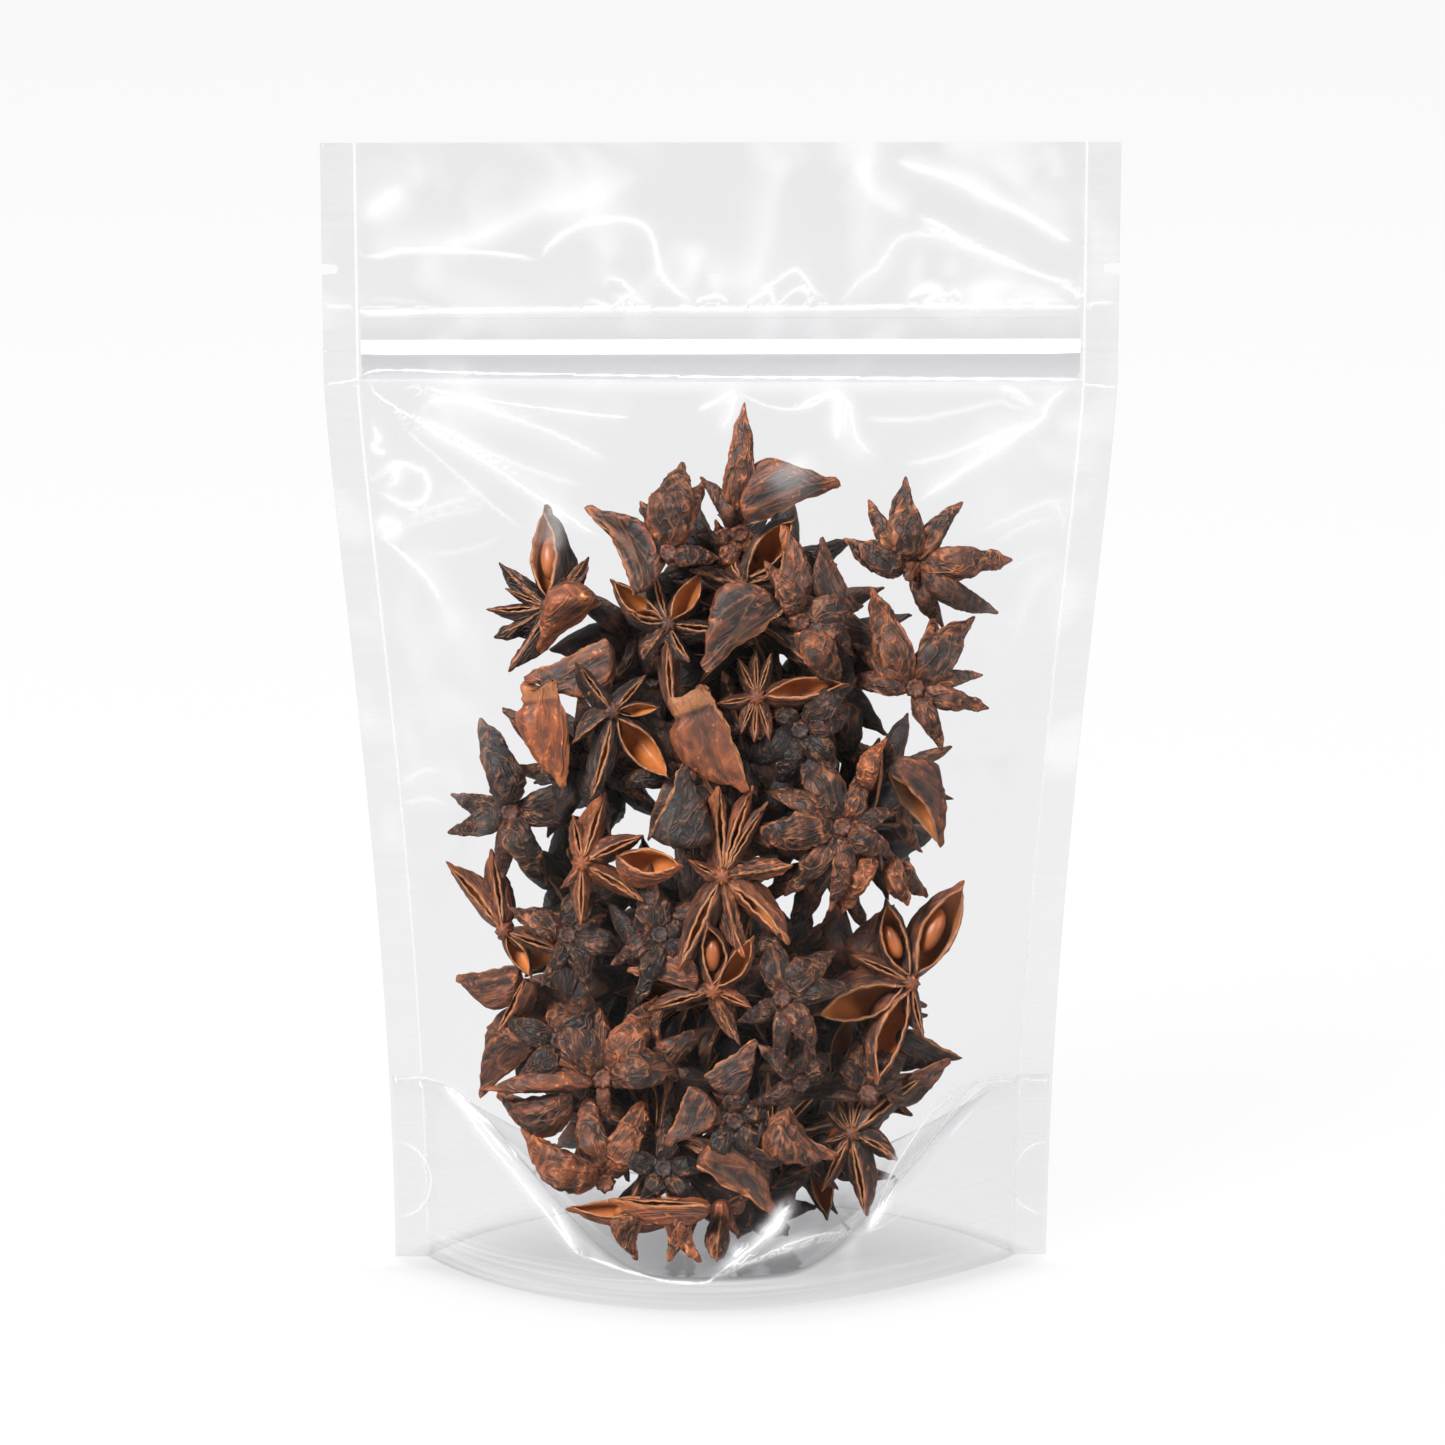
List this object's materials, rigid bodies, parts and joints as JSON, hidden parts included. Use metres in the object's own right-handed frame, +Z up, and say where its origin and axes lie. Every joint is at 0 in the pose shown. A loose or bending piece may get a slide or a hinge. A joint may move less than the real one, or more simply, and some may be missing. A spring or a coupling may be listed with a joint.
{
  "type": "stand-up pouch of star anise",
  "caption": "Clear film stand-up pouch with side seals, a press-to-close strip and a gusset base, filled with dried star anise pods.",
  "frame": {"origin": "on the floor under the middle of the pouch's base", "axes": "+X to the pouch's right seen from the front, +Y towards its back, +Z up along its height"},
  "size_m": [0.14, 0.0629, 0.204],
  "materials": {
    "film": "clear glossy film, slightly frosted at the welds",
    "zip": "milky press-to-close strip",
    "pod": "dry wrinkled woody pod, matte outside and smooth inside",
    "seed": "hard glossy brown seed"
  },
  "bodies": {
    "root": {"pouch": "film", "zip_strip": "zip"}
  },
  "joints": []
}
